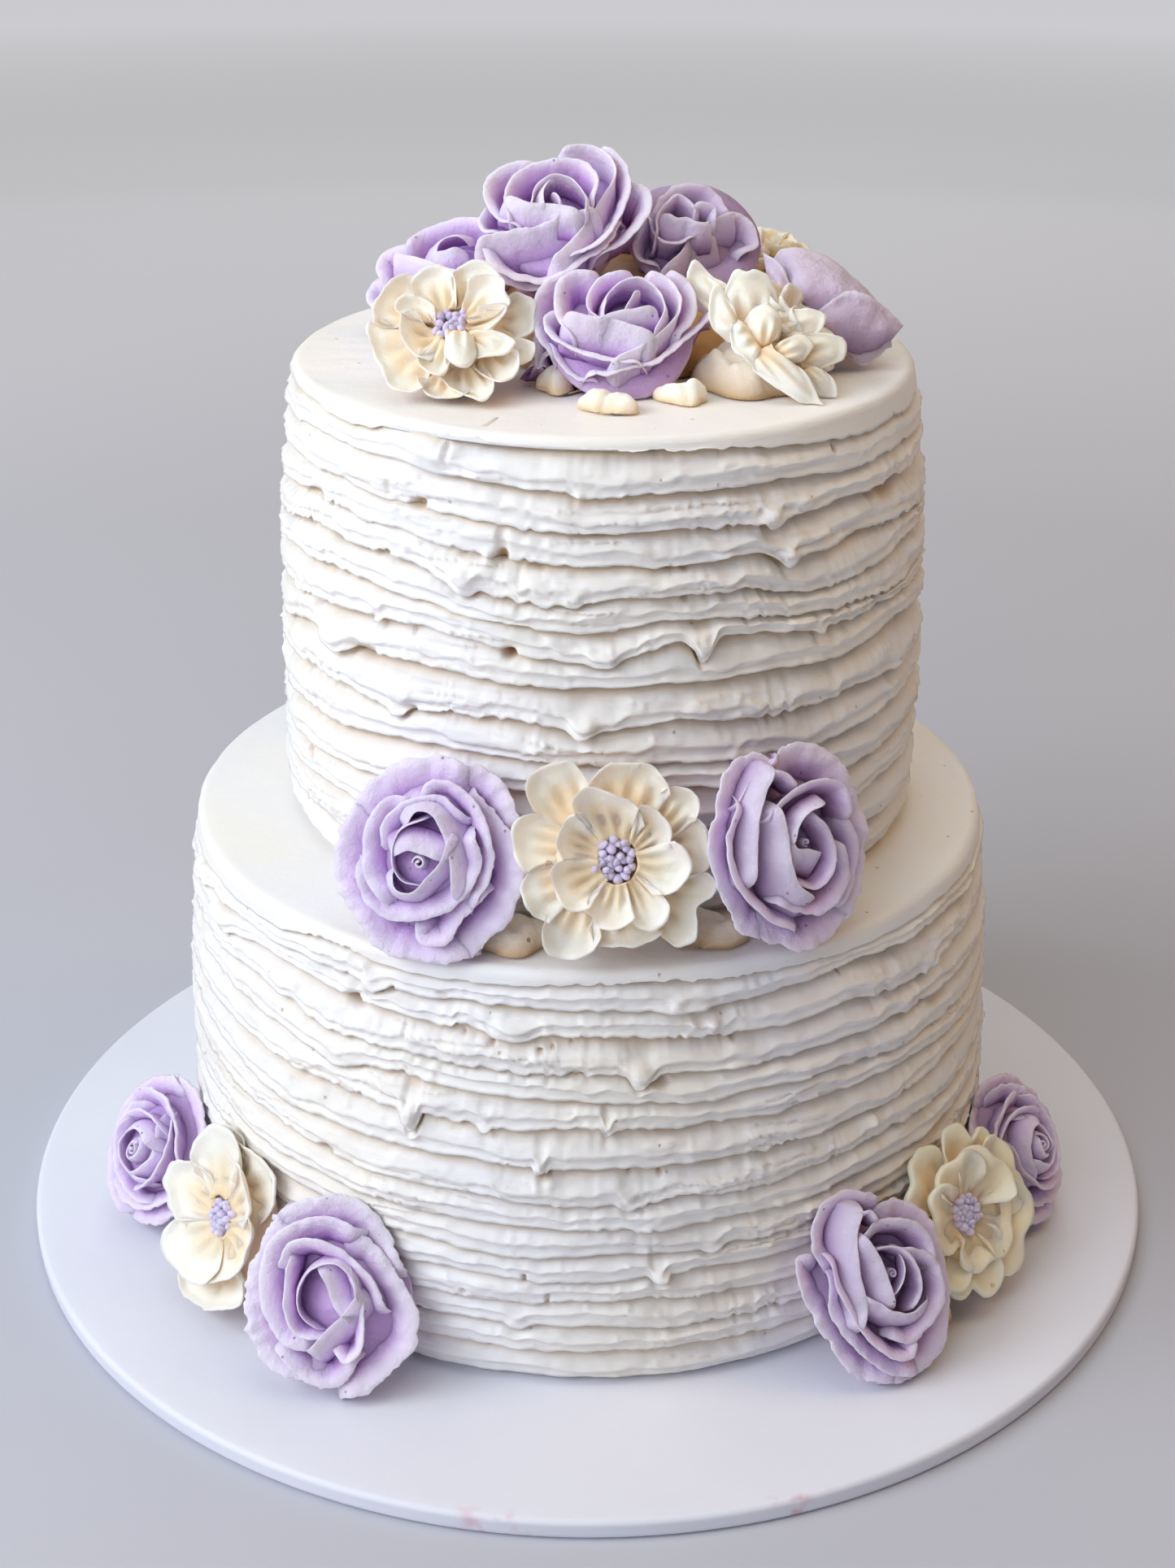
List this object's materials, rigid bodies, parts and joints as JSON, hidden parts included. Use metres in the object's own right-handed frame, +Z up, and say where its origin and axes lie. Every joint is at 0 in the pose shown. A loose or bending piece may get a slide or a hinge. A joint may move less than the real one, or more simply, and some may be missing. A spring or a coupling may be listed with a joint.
{
  "type": "tiered wedding cake",
  "caption": "Round tiered cake with horizontally ridged off-white icing on a white board, with piped lilac roses and ivory blossoms on the top, the ledge and the foot.",
  "frame": {"origin": "centre of the board's underside", "axes": "+Z up; the decorated front faces -Y, so +X is to the right seen from the front"},
  "size_m": [0.3048, 0.3048, 0.2781],
  "materials": {
    "board_paper": "matte",
    "tier_icing": "satin buttercream",
    "rose_icing": "satin buttercream",
    "blossom_icing": "satin buttercream",
    "stamen_icing": "satin buttercream"
  },
  "bodies": {
    "root": {"board": "board_paper", "lower_tier": "tier_icing", "upper_tier": "tier_icing", "rose_top_main": "rose_icing", "rose_top_front": "rose_icing", "rose_top_left": "rose_icing", "rose_top_right": "rose_icing", "rose_top_side": "rose_icing", "rose_top_back": "rose_icing", "rose_top_rear": "rose_icing", "rose_ledge_left": "rose_icing", "rose_ledge_right": "rose_icing", "rose_foot_left": "rose_icing", "rose_foot_far_left": "rose_icing", "rose_foot_right": "rose_icing", "rose_foot_far_right": "rose_icing", "blossom_top_left": "blossom_icing", "blossom_top_right": "blossom_icing", "blossom_top_back": "blossom_icing", "blossom_top_rear": "blossom_icing", "blossom_ledge": "blossom_icing", "blossom_foot_left": "blossom_icing", "blossom_foot_right": "blossom_icing", "blossom_top_left_stamens": "stamen_icing", "blossom_top_right_stamens": "stamen_icing", "blossom_top_back_stamens": "stamen_icing", "blossom_top_rear_stamens": "stamen_icing", "blossom_ledge_stamens": "stamen_icing", "blossom_foot_left_stamens": "stamen_icing", "blossom_foot_right_stamens": "stamen_icing", "icing_mound_top": "blossom_icing", "icing_dab_top_left": "blossom_icing", "icing_dab_top_front": "blossom_icing", "icing_dab_top_right": "blossom_icing", "icing_dab_top_side": "blossom_icing", "icing_dab_ledge_left": "blossom_icing", "icing_dab_ledge_right": "blossom_icing", "icing_dab_foot_right": "blossom_icing"}
  },
  "joints": []
}
